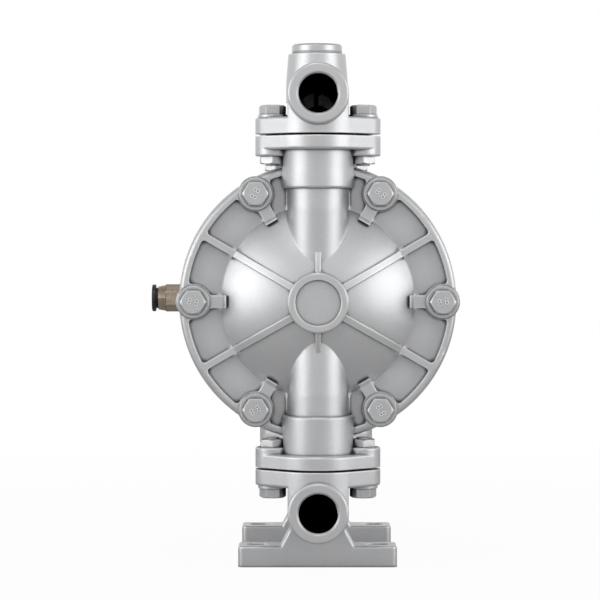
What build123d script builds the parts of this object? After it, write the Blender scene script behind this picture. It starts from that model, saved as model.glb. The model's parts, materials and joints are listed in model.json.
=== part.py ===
from build123d import *
import os
from math import cos, radians, sin, sqrt

# Half-inch air operated diaphragm pump, in millimetres.
# +Z is up and Y is the pump axis. The front, with the open ports, faces -Y.
# The origin is the centre of the foot slots, on the plane of the soles.
os.makedirs("parts", exist_ok=True)

# Layout
axis_height = 130.2
passage_y = 70.0
port_y = 95.0
joint_over_rim = 13.3
joint_gap = 1.0
running_gap = 0.05
fit_gap = 0.1
free_gap = 0.3

# Quarter-inch fasteners
bolt_d = 6.35
bolt_hole_d = 7.0
hex_flats = 11.1
hex_bevel = 0.7
head_height = 4.6
nut_height = 5.0
thin_nut_height = 3.8
washer_d = 15.6
washer_thickness = 1.4
joint_washer_d = 14.0
nut_washer_d = 13.1
thread_end = 0.8

# Liquid covers
cover_r = 66.5
cover_joint_y = 54.0
rim_y = 71.5
rim_round = 2.2
rim_width = 3.7
pocket_floor_y = 65.0
pocket_corner_r = 1.6
dome_r = 46.5
dome_apex_y = 86.5
dome_curve_r = 70.0
dome_wall = 5.0
hub_r = 14.4
hub_y = 91.0
hub_recess_r = 10.85
hub_recess_depth = 2.4
hub_chamfer = 0.6
bolt_setback = 6.8
bolt_count = 6
boss_r = 8.5
pad_r = 8.0
pad_y = 73.0
strap_width = 6.2
strap_inner_r = 44.0
rib_width = 3.4
rib_slant = 30.0
rib_proud = 1.7
upright_rib_width = 2.6

# Elbows, sockets and flanges of the liquid covers
elbow_r = 14.9
elbow_bend_rise = 44.5
elbow_tilt = 2.2
socket_r = 17.4
socket_length = 24.9
socket_round = 1.0
nut_room_taper = 3.0
passage_r = 10.5
flange_r = 22.5
flange_thickness = 6.6
lug_x = 21.7
lug_r = 8.3
lug_thickness = 9.6
flange_round = 1.2
lug_round = 0.8

# Check valves
ball_r = 9.0
ball_lift = 5.0
ball_clearance = 0.35
cage_r = 12.0
cage_rib_width = 2.4
finger_r = 5.0
finger_height = 3.0
seat_r = 13.5
seat_hole_r = 6.5
seat_depth = 5.0
seat_cone_r = 8.6
seat_cone_depth = 2.0
seal_section_r = 0.9
gasket_r = 18.0

# Manifolds
discharge_port_rise = 19.0
suction_port_drop = 19.6
port_ring_r = 14.5
port_ring_round = 1.2
port_thread_r = 9.3
port_thread_length = 16.0
port_chamfer = 0.8
rear_thread_r = 9.7
pipe_r = 13.6
pipe_bore_r = 10.0
leg_depth = 37.5
leg_round = 7.0
manifold_flange_thickness = 7.8
neck_rise = 24.4
neck_top_r = 14.45
neck_base_r = 15.6
plug_head_r = 12.6
plug_head_height = 3.6
plug_washer_thickness = 1.3
plug_socket_flats = 10.0
plug_length = 12.0

# Feet
foot_y = 43.0
foot_width = 77.7
foot_depth = 19.0
foot_height = 10.2
foot_round = 2.5
foot_edge_round = 1.0
web_top_half = 13.8
web_foot_half = 17.9
web_flare_rise = 7.7
slot_x = 29.5
slot_width = 7.0
slot_length = 11.0

# Air side
block_half = 36.0
block_round = 9.0
block_end_y = 34.0
air_flange_margin = 1.0
air_flange_back_y = 43.0
air_hub_r = 31.0
air_cone_r = 50.0
air_floor_y = 38.5
air_floor_r = 30.0
air_bowl_r = 54.0
chamber_screw_r = 26.0
chamber_screw_d = 6.0
chamber_screw_head_d = 11.4
chamber_screw_length = 16.0

# Diaphragms, plates and rod
diaphragm_setback = 1.0
diaphragm_thickness = 3.0
bead_inner_r = 53.0
plate_r = 26.0
roll_depth = 4.0
plate_thickness = 4.0
plate_edge_round = 1.4
stroke = 8.0
rod_r = 7.0
rod_stud_depth = 18.0
plate_bolt_d = 8.0
plate_bolt_head_r = 7.5
plate_bolt_head_height = 5.0
bush_r = 9.0
bush_length = 10.0
bush_inset = 5.0
rod_seal_length = 3.6

# Pilot rod
pilot_rise = 22.0
pilot_r = 3.0
pilot_bush_r = 5.0
pilot_bush_length = 12.0
pilot_travel = 3.0

# Air valve
valve_gasket_thickness = 1.0
valve_depth = 21.0
valve_half_y = 27.0
valve_half_z = 30.0
valve_round = 4.0
spool_x = -47.5
sleeve_r = 8.0
spool_r = 5.0
spool_length = 47.0
spool_travel = 8.0
spool_waist_r = 3.2
spool_seal_r = 0.8
air_way_r = 2.5
air_way_pitch = 14.0
valve_screw_y = 20.5
valve_screw_z = 23.0
valve_screw_d = 5.0
valve_screw_head_d = 8.5
valve_screw_head_height = 5.0
valve_screw_length = 30.0
cap_thickness = 4.0
cap_half_x = 9.5
cap_half_y = 17.0
cap_screw_y = 13.0
cap_screw_d = 4.0
cap_screw_head_d = 7.6
cap_screw_head_height = 2.4
cap_screw_length = 10.0
inlet_boss_r = 11.5
inlet_boss_length = 8.0

# Push-in air fitting for 8 mm tube
fitting_thread_r = 4.8
fitting_thread_length = 8.5
fitting_hex_flats = 12.0
fitting_hex_length = 10.5
fitting_collar_r = 6.6
fitting_mouth_r = 5.9
fitting_collar_length = 3.8
tube_r = 4.0
tube_clearance = 0.1
collet_r = 5.3
collet_length = 8.0
release_r = 6.8
release_hole_r = 4.4
release_head_length = 1.9
release_travel = 1.0
release_sleeve_r = 5.2
release_sleeve_depth = 3.0
tube_stop_r = 3.0

# Exhaust muffler
muffler_thread_r = 6.5
muffler_thread_length = 10.0
muffler_hex_flats = 17.0
muffler_hex_length = 6.0
muffler_r = 8.0
muffler_length = 18.0
muffler_bore_r = 3.5
muffler_bore_length = 12.0

# Planes and axes shared by the sections below
# Facing: local x is X, local y is up and local z runs forwards from the middle.
# Turning: local x is the radius and local y the distance forwards from the middle.
facing = Plane((0, 0, axis_height), x_dir=(1, 0, 0), z_dir=(0, -1, 0))
turning = Plane((0, 0, axis_height), x_dir=(1, 0, 0), z_dir=(0, 0, -1))
pump_axis = Axis((0, 0, axis_height), (0, 1, 0))
passage_up = Plane((0, -passage_y, axis_height), x_dir=(1, 0, 0), z_dir=(0, 0, 1))
passage_down = Plane((0, -passage_y, axis_height), x_dir=(1, 0, 0), z_dir=(0, 0, -1))

# Radii that follow the rim of the covers
pocket_r = cover_r - rim_width
bolt_circle_r = cover_r - bolt_setback
diaphragm_r = cover_r - diaphragm_setback
air_flange_r = cover_r + air_flange_margin
joint_rise = cover_r + joint_over_rim

# Heights of the flange faces from the axis
cover_face_rise = joint_rise - joint_gap / 2
manifold_face_rise = joint_rise + joint_gap / 2
upper_face = axis_height + manifold_face_rise
lower_face = axis_height - manifold_face_rise
discharge_port_height = axis_height + joint_rise + discharge_port_rise
suction_port_height = axis_height - joint_rise - suction_port_drop
neck_top_height = discharge_port_height + neck_rise


# A closed outline of (radius, distance) points, turned about an axis
def turned(plane, axis, points, mode=Mode.ADD):
    with BuildSketch(plane) as section:
        with BuildLine():
            Polyline(*points, close=True)
        make_face()
    revolve(section.sketch, axis=axis, mode=mode)


# A round bar or hole standing on a plane
def round_bar(plane, radius, length, mode=Mode.ADD):
    with BuildSketch(plane) as section:
        Circle(radius)
    extrude(section.sketch, amount=length, mode=mode)


# A round sleeve standing on a plane
def sleeve(plane, outer_r, inner_r, length):
    with BuildSketch(plane) as section:
        Circle(outer_r)
        Circle(inner_r, mode=Mode.SUBTRACT)
    extrude(section.sketch, amount=length)


# A hexagon prism on XY with its outer corners bevelled round, flats towards local x
def hexagon(flats, height):
    with BuildPart() as prism:
        with BuildSketch():
            RegularPolygon(flats / 2, 6, major_radius=False, rotation=30)
        extrude(amount=height)
        corner_r = flats / sqrt(3)
        turned(
            Plane.XZ,
            Axis.Z,
            [(0, 0), (corner_r, 0), (corner_r, height - hex_bevel), (flats / 2 - 0.2, height), (0, height)],
            Mode.INTERSECT,
        )
    return prism.part


# A screw whose head seats on XY, with its shank below
def screw(head, shank_d, length):
    with BuildPart() as made:
        add(head)
        round_bar(Plane.XY, shank_d / 2, -length)
    return made.part


# A round head with a hexagon socket, seated on XY
def socket_head(head_d, height, key):
    with BuildPart() as head:
        round_bar(Plane.XY, head_d / 2, height)
        chamfer(head.edges().group_by(Axis.Z)[-1], height * 0.12)
        with BuildSketch(Plane.XY.offset(height)):
            RegularPolygon(key / 2, 6, major_radius=False)
        extrude(amount=-height * 0.6, mode=Mode.SUBTRACT)
    return head.part


# A nut standing on XY
def nut(height):
    with BuildPart() as made:
        add(hexagon(hex_flats, height))
        round_bar(Plane.XY, bolt_d / 2, height, Mode.SUBTRACT)
    return made.part


# A flat ring standing on XY
def flat_ring(outer_r, inner_r, thickness):
    with BuildPart() as made:
        sleeve(Plane.XY, outer_r, inner_r, thickness)
    return made.part


# Saves one finished piece under its node's name
def save(piece, name):
    piece.label = name
    export_step(piece, f"parts/{name}.step")


# Saves a front piece, and the same piece turned round to the rear
def save_pair(piece, name):
    save(piece, f"{name}_front")
    save(piece.mirror(Plane.XZ), f"{name}_rear")


# Outline of a two-bolt flange
def flange_outline(plane):
    with BuildSketch(plane) as outline:
        with BuildLine():
            CenterArc((0, 0), flange_r, 0, 360)
            CenterArc((lug_x, 0), lug_r, 0, 360)
            CenterArc((-lug_x, 0), lug_r, 0, 360)
        make_hull()
    return outline.sketch


# A two-bolt flange standing on its joint face, rounded at the other
def flange(plane, thickness):
    with BuildPart() as plate:
        extrude(flange_outline(Plane.XY), amount=thickness)
        fillet(plate.edges().group_by(Axis.Z)[-1], flange_round)
    return plate.part.moved(plane.location)


# A round bar standing on a plane, rounded at its far end
def rounded_bar(plane, radius, length, edge_round):
    with BuildPart() as bar:
        round_bar(Plane.XY, radius, length)
        fillet(bar.edges().group_by(Axis.Z)[-1], edge_round)
    return bar.part.moved(plane.location)


# Guide ribs and stop fingers of a ball cage that starts at a plane
def ball_cage(plane, depth, wall_r):
    guide_r = ball_r + ball_clearance
    with BuildSketch(plane) as ribs:
        with PolarLocations((guide_r + wall_r) / 2, 4, start_angle=45):
            Rectangle(wall_r - guide_r + 1, cage_rib_width)
        Circle(guide_r, mode=Mode.SUBTRACT)
    extrude(ribs.sketch, amount=depth)
    with BuildSketch(plane.offset(depth)) as fingers:
        with PolarLocations((finger_r + wall_r) / 2, 4, start_angle=45):
            Rectangle(wall_r - finger_r + 1, cage_rib_width)
    extrude(fingers.sketch, amount=finger_height)


# Ball heights: the ball rests on the cone of its seat
seat_slope = (seat_cone_r - seat_hole_r) / seat_cone_depth
ball_contact_r = ball_r / sqrt(1 + seat_slope ** 2)
contact_depth = (seat_cone_r - ball_contact_r) / seat_slope
ball_rise = sqrt(ball_r ** 2 - ball_contact_r ** 2) - contact_depth + running_gap
cage_depth = ball_rise + ball_lift + sqrt(ball_r ** 2 - finger_r ** 2) + free_gap

# Liquid covers
curve_centre_y = dome_apex_y - dome_curve_r
rib_curve_r = dome_curve_r + rib_proud


# Distance forwards of a ball-shaped face at a radius from the pump axis
def curve_y(curve_r, radius):
    return curve_centre_y + sqrt(curve_r ** 2 - radius ** 2)


# Ribs that run over the dome, from the hub out to the pockets
with BuildPart() as dome_ribs:
    with BuildSketch(facing.offset(pocket_floor_y)):
        for slant in (rib_slant, -rib_slant):
            Rectangle(2 * dome_r, rib_width, rotation=slant)
        Rectangle(upright_rib_width, 2 * elbow_bend_rise)
        with PolarLocations((dome_r + strap_inner_r) / 2, bolt_count):
            Rectangle(dome_r - strap_inner_r, strap_width)
    extrude(amount=hub_y - pocket_floor_y)
    rib_land_r = sqrt(rib_curve_r ** 2 - (rim_y - curve_centre_y) ** 2)
    with BuildSketch(turning):
        with BuildLine():
            Polyline(
                (0, curve_y(rib_curve_r, 0)),
                (0, pocket_floor_y),
                (dome_r, pocket_floor_y),
                (dome_r, rim_y),
                (rib_land_r, rim_y),
            )
            ThreePointArc(
                (rib_land_r, rim_y),
                (rib_land_r / 2, curve_y(rib_curve_r, rib_land_r / 2)),
                (0, curve_y(rib_curve_r, 0)),
            )
        make_face()
    revolve(axis=pump_axis, mode=Mode.INTERSECT)

# Socket standing on its joint face, with room beside it for the nuts under the lugs
with BuildPart() as socket:
    add(rounded_bar(Plane.XY, socket_r, socket_length, socket_round))
    nut_room_r = hex_flats / sqrt(3) + free_gap
    nut_room_end = lug_thickness + thin_nut_height + thread_end + free_gap
    for side in (-1, 1):
        turned(
            Plane((side * lug_x, 0, 0), x_dir=(1, 0, 0), z_dir=(0, -1, 0)),
            Axis((side * lug_x, 0, 0), (0, 0, 1)),
            [
                (0, 0),
                (nut_room_r, 0),
                (nut_room_r, nut_room_end),
                (nut_room_r - nut_room_taper, nut_room_end + nut_room_taper),
                (0, nut_room_end + nut_room_taper),
            ],
            Mode.SUBTRACT,
        )

with BuildPart() as liquid_cover:
    # Thick rim with a rounded front edge, and the dome inside it with a crisp lower edge
    with BuildSketch(turning):
        with BuildLine():
            Polyline(
                (0, dome_apex_y),
                (0, cover_joint_y),
                (cover_r, cover_joint_y),
                (cover_r, rim_y - rim_round),
            )
            RadiusArc((cover_r, rim_y - rim_round), (cover_r - rim_round, rim_y), -rim_round)
            Polyline((cover_r - rim_round, rim_y), (dome_r, rim_y), (dome_r, curve_y(dome_curve_r, dome_r)))
            ThreePointArc(
                (dome_r, curve_y(dome_curve_r, dome_r)),
                (dome_r / 2, curve_y(dome_curve_r, dome_r / 2)),
                (0, dome_apex_y),
            )
        make_face()
    revolve(axis=pump_axis)
    # Pockets between the dome and the rim, which leave ribs, bosses and straps
    with BuildSketch(facing.offset(pocket_floor_y)) as pockets:
        Circle(pocket_r)
        Circle(dome_r, mode=Mode.SUBTRACT)
        for slant in (rib_slant, -rib_slant):
            Rectangle(2 * pocket_r + 1, rib_width, rotation=slant, mode=Mode.SUBTRACT)
        with PolarLocations(bolt_circle_r, bolt_count):
            Circle(boss_r, mode=Mode.SUBTRACT)
        with PolarLocations((bolt_circle_r + strap_inner_r) / 2, bolt_count):
            Rectangle(bolt_circle_r - strap_inner_r, strap_width, mode=Mode.SUBTRACT)
        Rectangle(2 * elbow_r + 1, 2 * pocket_r + 1, mode=Mode.SUBTRACT)
        fillet(pockets.vertices(), pocket_corner_r)
    extrude(amount=rim_y - pocket_floor_y, mode=Mode.SUBTRACT)
    # Bosses, with raised pads under the bolt heads
    with BuildSketch(facing.offset(cover_joint_y)):
        with PolarLocations(bolt_circle_r, bolt_count):
            Circle(boss_r)
    extrude(amount=rim_y - cover_joint_y)
    with BuildSketch(facing.offset(rim_y)):
        with PolarLocations(bolt_circle_r, bolt_count):
            Circle(pad_r)
    extrude(amount=pad_y - rim_y)
    add(dome_ribs.part)
    # Hub ring with its recessed disc
    round_bar(facing.offset(dome_apex_y - dome_wall), hub_r, hub_y - dome_apex_y + dome_wall)
    chamfer(liquid_cover.edges().sort_by(Axis.Y)[0], hub_chamfer)
    round_bar(facing.offset(hub_y - hub_recess_depth), hub_recess_r, hub_recess_depth, Mode.SUBTRACT)
    # Elbow, socket, neck and flange above and below
    for passage in (passage_up, passage_down):
        with BuildSketch(passage.offset(elbow_bend_rise)):
            Circle(elbow_r)
        lean = radians(elbow_tilt)
        extrude(amount=elbow_bend_rise - hub_r / 2, dir=(0, sin(lean), -passage.z_dir.Z * cos(lean)))
        round_bar(passage.offset(elbow_bend_rise), elbow_r, cover_face_rise - elbow_bend_rise)
        joint_face = Plane(passage.offset(cover_face_rise).origin, x_dir=(1, 0, 0), z_dir=-passage.z_dir)
        add(socket.part.moved(joint_face.location))
        add(flange(joint_face, flange_thickness))
        for side in (-1, 1):
            lug = Plane(joint_face.from_local_coords((side * lug_x, 0, 0)), z_dir=joint_face.z_dir)
            add(rounded_bar(lug, lug_r, lug_thickness, lug_round))
            round_bar(lug, bolt_hole_d / 2, lug_thickness, Mode.SUBTRACT)
    # Liquid chamber behind the dome, flat where the cover meets the diaphragm
    inner_curve_r = dome_curve_r - dome_wall
    chamber_mouth_r = sqrt(inner_curve_r ** 2 - (cover_joint_y - curve_centre_y) ** 2)
    chamber_mid_r = chamber_mouth_r / 2
    with BuildSketch(turning):
        with BuildLine():
            Polyline(
                (0, dome_apex_y - dome_wall),
                (0, 0),
                (cover_r + 1, 0),
                (cover_r + 1, cover_joint_y),
                (chamber_mouth_r, cover_joint_y),
            )
            ThreePointArc(
                (chamber_mouth_r, cover_joint_y),
                (chamber_mid_r, curve_y(inner_curve_r, chamber_mid_r)),
                (0, dome_apex_y - dome_wall),
            )
        make_face()
    revolve(axis=pump_axis, mode=Mode.SUBTRACT)
    # Liquid ways: plain above, with the suction ball's cage below, and the seat's recess above
    way_start = elbow_bend_rise - passage_r
    round_bar(passage_up.offset(way_start), passage_r, cover_face_rise - way_start, Mode.SUBTRACT)
    round_bar(passage_down.offset(way_start), passage_r, cover_face_rise - way_start, Mode.SUBTRACT)
    cage_end = cover_face_rise - cage_depth - finger_height
    round_bar(passage_down.offset(cage_end), cage_r, cover_face_rise - cage_end, Mode.SUBTRACT)
    cage_mouth = Plane(passage_down.offset(cover_face_rise).origin, z_dir=(0, 0, 1))
    ball_cage(cage_mouth, cage_depth, cage_r)
    round_bar(passage_up.offset(cover_face_rise - seat_depth), seat_r + fit_gap, seat_depth, Mode.SUBTRACT)
    # Cover bolt holes
    with BuildSketch(facing.offset(cover_joint_y)):
        with PolarLocations(bolt_circle_r, bolt_count):
            Circle(bolt_hole_d / 2)
    extrude(amount=pad_y - cover_joint_y, mode=Mode.SUBTRACT)
save_pair(liquid_cover.part, "liquid_cover")

# Air chambers: bowls behind the diaphragms
with BuildPart() as air_chamber:
    hole_r = rod_r + free_gap
    bowl_y = cover_joint_y - diaphragm_thickness
    turned(
        turning,
        pump_axis,
        [
            (hole_r, block_end_y),
            (air_hub_r, block_end_y),
            (air_cone_r, air_flange_back_y),
            (air_flange_r, air_flange_back_y),
            (air_flange_r, bowl_y),
            (air_bowl_r, bowl_y),
            (air_floor_r, air_floor_y),
            (hole_r, air_floor_y),
        ],
    )
    with BuildSketch(facing.offset(block_end_y)):
        with PolarLocations(bolt_circle_r, bolt_count):
            Circle(bolt_hole_d / 2)
        with Locations((0, pilot_rise)):
            Circle(pilot_r + free_gap)
        with PolarLocations(chamber_screw_r, 4, start_angle=45):
            Circle(chamber_screw_d / 2 + fit_gap)
        with Locations((0, -pilot_rise)):
            Circle(air_way_r)
    extrude(amount=bowl_y - block_end_y, mode=Mode.SUBTRACT)
    with BuildSketch(facing.offset(air_floor_y)):
        with PolarLocations(chamber_screw_r, 4, start_angle=45):
            Circle(chamber_screw_head_d / 2 + fit_gap)
    head_depth = (chamber_screw_head_d - chamber_screw_d) / 2
    extrude(amount=-head_depth, taper=45, mode=Mode.SUBTRACT)
save_pair(air_chamber.part, "air_chamber")

# Countersunk screws that hold the air chambers to the centre block
with BuildPart() as sunk_screw:
    shank_r = chamber_screw_d / 2
    turned(
        Plane.XZ,
        Axis.Z,
        [
            (0, 0),
            (chamber_screw_head_d / 2, 0),
            (shank_r, -head_depth),
            (shank_r, -chamber_screw_length),
            (0, -chamber_screw_length),
        ],
    )
    with BuildSketch(Plane.XY):
        RegularPolygon(shank_r * 0.6, 6, major_radius=False)
    extrude(amount=-head_depth * 0.7, mode=Mode.SUBTRACT)
with BuildPart(facing.offset(air_floor_y)) as chamber_screws:
    with PolarLocations(chamber_screw_r, 4, start_angle=45):
        add(sunk_screw.part)
chamber_screws.part += chamber_screws.part.mirror(Plane.XZ)
save(chamber_screws.part, "chamber_screws")

# Centre block with the rod bore, the pilot bore and the air ways
block_back = facing.offset(-block_end_y)
side_plane = Plane((0, 0, axis_height), x_dir=(0, 1, 0), z_dir=(1, 0, 0))
with BuildPart() as center_block:
    with BuildSketch(block_back):
        RectangleRounded(2 * block_half, 2 * block_half, block_round)
    extrude(amount=2 * block_end_y)
    round_bar(block_back, rod_r + 2 * free_gap, 2 * block_end_y, Mode.SUBTRACT)
    pilot_plane = Plane(block_back.from_local_coords((0, pilot_rise, 0)), z_dir=block_back.z_dir)
    round_bar(pilot_plane, pilot_r + free_gap, 2 * block_end_y, Mode.SUBTRACT)
    for end in (-1, 1):
        end_plane = Plane((0, end * block_end_y, axis_height), x_dir=(1, 0, 0), z_dir=(0, end, 0))
        round_bar(end_plane, bush_r, -bush_inset - bush_length, Mode.SUBTRACT)
        pilot_end = Plane((0, end * block_end_y, axis_height + pilot_rise), z_dir=(0, end, 0))
        round_bar(pilot_end, pilot_bush_r, -pilot_bush_length, Mode.SUBTRACT)
        with BuildSketch(end_plane):
            with PolarLocations(chamber_screw_r, 4, start_angle=45):
                Circle(chamber_screw_d / 2)
        extrude(amount=-chamber_screw_length, mode=Mode.SUBTRACT)
        with BuildSketch(end_plane):
            with Locations((0, -pilot_rise)):
                Circle(air_way_r)
        extrude(amount=-block_end_y + air_way_pitch / 2, mode=Mode.SUBTRACT)
    # Air ways from the valve face, and the exhaust thread on the other side
    valve_face = side_plane.offset(-block_half)
    with BuildSketch(valve_face):
        with Locations((0, -air_way_pitch), (0, 0), (0, air_way_pitch)):
            Circle(air_way_r)
    extrude(amount=block_half - 2 * rod_r, mode=Mode.SUBTRACT)
    with BuildSketch(valve_face):
        with GridLocations(2 * valve_screw_y, 2 * valve_screw_z, 2, 2):
            Circle(valve_screw_d / 2)
    extrude(amount=valve_screw_length - valve_depth + valve_screw_head_height, mode=Mode.SUBTRACT)
    exhaust_face = side_plane.offset(block_half)
    round_bar(exhaust_face, muffler_thread_r, -muffler_thread_length - 2, Mode.SUBTRACT)
save(center_block.part, "center_block")

# Diaphragms: clamped rim, rolled ring and flat middle
with BuildPart() as diaphragm:
    front_y = cover_joint_y
    back_y = cover_joint_y - diaphragm_thickness
    roll_r = (bead_inner_r + plate_r) / 2
    with BuildSketch(turning):
        with BuildLine():
            Polyline(
                (bead_inner_r, back_y),
                (diaphragm_r, back_y),
                (diaphragm_r, front_y),
                (bead_inner_r, front_y),
            )
            ThreePointArc((bead_inner_r, front_y), (roll_r, front_y - roll_depth), (plate_r + 2, front_y))
            Polyline(
                (plate_r + 2, front_y),
                (plate_bolt_d / 2, front_y),
                (plate_bolt_d / 2, back_y),
                (plate_r + 2, back_y),
            )
            ThreePointArc((plate_r + 2, back_y), (roll_r, back_y - roll_depth), (bead_inner_r, back_y))
        make_face()
    revolve(axis=pump_axis)
    with BuildSketch(facing.offset(back_y)):
        with PolarLocations(bolt_circle_r, bolt_count):
            Circle(bolt_hole_d / 2)
    extrude(amount=diaphragm_thickness, mode=Mode.SUBTRACT)
save_pair(diaphragm.part, "diaphragm")

# Plates that grip the middle of each diaphragm
rod_end_y = back_y - plate_thickness
plate_face_y = front_y + plate_thickness
with BuildPart() as inner_plate:
    sleeve(facing.offset(rod_end_y), plate_r, plate_bolt_d / 2, plate_thickness)
    fillet(inner_plate.edges().filter_by(GeomType.CIRCLE).sort_by(SortBy.RADIUS)[-2:], plate_edge_round)
save_pair(inner_plate.part, "inner_plate")

with BuildPart() as outer_plate:
    sleeve(facing.offset(front_y), plate_r, plate_bolt_d / 2, plate_thickness)
    fillet(outer_plate.edges().filter_by(GeomType.CIRCLE).sort_by(SortBy.RADIUS)[-2:], plate_edge_round)
save_pair(outer_plate.part, "outer_plate")

with BuildPart(facing.offset(plate_face_y)) as plate_bolts:
    head = socket_head(2 * plate_bolt_head_r, plate_bolt_head_height, plate_bolt_d * 0.75)
    add(screw(head, plate_bolt_d, plate_face_y - rod_end_y + rod_stud_depth - 1))
plate_bolts.part += plate_bolts.part.mirror(Plane.XZ)
save(plate_bolts.part, "plate_bolts")

# Rod that joins the diaphragms, tapped at both ends
with BuildPart() as diaphragm_rod:
    round_bar(facing.offset(-rod_end_y), rod_r, 2 * rod_end_y)
    chamfer(diaphragm_rod.edges().filter_by(GeomType.CIRCLE), 0.6)
    for end in (-1, 1):
        end_plane = Plane((0, end * rod_end_y, axis_height), z_dir=(0, end, 0))
        round_bar(end_plane, plate_bolt_d / 2, -rod_stud_depth, Mode.SUBTRACT)
save(diaphragm_rod.part, "diaphragm_rod")

# Rod bushes and the seals outside them
with BuildPart() as rod_bushes:
    sleeve(facing.offset(block_end_y - bush_inset - bush_length), bush_r, rod_r + running_gap, bush_length)
rod_bushes.part += rod_bushes.part.mirror(Plane.XZ)
save(rod_bushes.part, "rod_bushes")

with BuildPart() as rod_seals:
    seal_start = facing.offset(block_end_y - bush_inset + fit_gap)
    sleeve(seal_start, bush_r - fit_gap, rod_r + running_gap, rod_seal_length)
rod_seals.part += rod_seals.part.mirror(Plane.XZ)
save(rod_seals.part, "rod_seals")

# Pilot rod, which each inner plate pushes at the end of its stroke, and its bushes
pilot_half_length = rod_end_y - stroke + pilot_travel - free_gap
pilot_facing = Plane(facing.from_local_coords((0, pilot_rise, 0)), x_dir=(1, 0, 0), z_dir=facing.z_dir)
with BuildPart() as pilot_rod:
    round_bar(pilot_facing.offset(-pilot_half_length), pilot_r, 2 * pilot_half_length)
    chamfer(pilot_rod.edges().filter_by(GeomType.CIRCLE), 0.5)
save(pilot_rod.part, "pilot_rod")

with BuildPart() as pilot_bushes:
    start = block_end_y - pilot_bush_length
    sleeve(pilot_facing.offset(start), pilot_bush_r, pilot_r + running_gap, pilot_bush_length)
pilot_bushes.part += pilot_bushes.part.mirror(Plane.XZ)
save(pilot_bushes.part, "pilot_bushes")

# Cover bolts, washers and nuts
nut_face_y = air_flange_back_y - washer_thickness
cover_bolt_length = pad_y + washer_thickness - nut_face_y + nut_height + thread_end
with BuildPart(facing.offset(pad_y + washer_thickness)) as cover_bolts:
    with PolarLocations(bolt_circle_r, bolt_count):
        add(screw(hexagon(hex_flats, head_height), bolt_d, cover_bolt_length).rotate(Axis.Z, 30))
save_pair(cover_bolts.part, "cover_bolts")

with BuildPart(facing.offset(pad_y)) as cover_washers:
    with PolarLocations(bolt_circle_r, bolt_count):
        add(flat_ring(washer_d / 2, bolt_hole_d / 2, washer_thickness))
with BuildPart(facing.offset(nut_face_y)) as nut_washers:
    with PolarLocations(bolt_circle_r, bolt_count):
        add(flat_ring(nut_washer_d / 2, bolt_hole_d / 2, washer_thickness))
cover_washers.part += nut_washers.part
save_pair(cover_washers.part, "cover_washers")

with BuildPart(facing.offset(nut_face_y - nut_height)) as cover_nuts:
    with PolarLocations(bolt_circle_r, bolt_count):
        add(nut(nut_height))
save_pair(cover_nuts.part, "cover_nuts")


# Port plug: a collared plug with a hexagon socket, its collar seated on XY
def port_plug(thread_r):
    with BuildPart() as made:
        round_bar(Plane.XY, plug_head_r, plug_head_height)
        chamfer(made.edges().group_by(Axis.Z)[-1], 0.8)
        round_bar(Plane.XY, thread_r, -plug_length - plug_washer_thickness)
        with BuildSketch(Plane.XY.offset(plug_head_height)):
            RegularPolygon(plug_socket_flats / 2, 6, major_radius=False)
        extrude(amount=-plug_length * 0.6, mode=Mode.SUBTRACT)
    return made.part


# Body of a manifold: pipe, port rings, legs and flanges, then the ways through them
# The port height is the pipe's, the face is the height of the flange faces.
def manifold_body(port_height, face_height):
    up = 1 if port_height > face_height else -1
    pipe = Plane((0, port_y, port_height), x_dir=(1, 0, 0), z_dir=(0, -1, 0))
    round_bar(pipe, pipe_r, 2 * port_y)
    for end in (-1, 1):
        ring = Plane((0, end * passage_y, port_height), z_dir=(0, end, 0))
        add(rounded_bar(ring, port_ring_r, port_y - passage_y, port_ring_round))
        leg = Plane((0, end * passage_y, face_height), x_dir=(1, 0, 0), z_dir=(0, 0, up))
        with BuildSketch(leg) as column:
            Circle(flange_r)
            with Locations((0, up * end * (flange_r - leg_depth / 2))):
                RectangleRounded(2 * port_ring_r, leg_depth, leg_round, mode=Mode.INTERSECT)
        extrude(column.sketch, amount=abs(port_height - face_height))
        add(flange(leg, manifold_flange_thickness))


# Ways of a manifold, cut after its outside is whole
def manifold_ways(port_height, face_height, way_r):
    up = 1 if port_height > face_height else -1
    pipe = Plane((0, port_y, port_height), x_dir=(1, 0, 0), z_dir=(0, -1, 0))
    for end in (-1, 1):
        leg = Plane((0, end * passage_y, face_height), x_dir=(1, 0, 0), z_dir=(0, 0, up))
        round_bar(leg, way_r, abs(port_height - face_height), Mode.SUBTRACT)
        with BuildSketch(leg) as holes:
            with Locations((-lug_x, 0), (lug_x, 0)):
                Circle(bolt_hole_d / 2)
        extrude(holes.sketch, amount=manifold_flange_thickness, mode=Mode.SUBTRACT)
        mouth = Plane((0, end * port_y, port_height), z_dir=(0, end, 0))
        thread_r = port_thread_r if end < 0 else rear_thread_r
        round_bar(mouth, thread_r, -port_thread_length, Mode.SUBTRACT)
        cone = [(0, 0), (thread_r + port_chamfer, 0), (thread_r, port_chamfer), (0, port_chamfer)]
        flat = Plane(mouth.origin, x_dir=(1, 0, 0), z_dir=(0, 0, -end))
        turned(flat, Axis(mouth.origin, (0, 1, 0)), cone, Mode.SUBTRACT)
    bore_length = 2 * (port_y - port_thread_length)
    round_bar(pipe.offset(port_thread_length), pipe_bore_r, bore_length, Mode.SUBTRACT)


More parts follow.
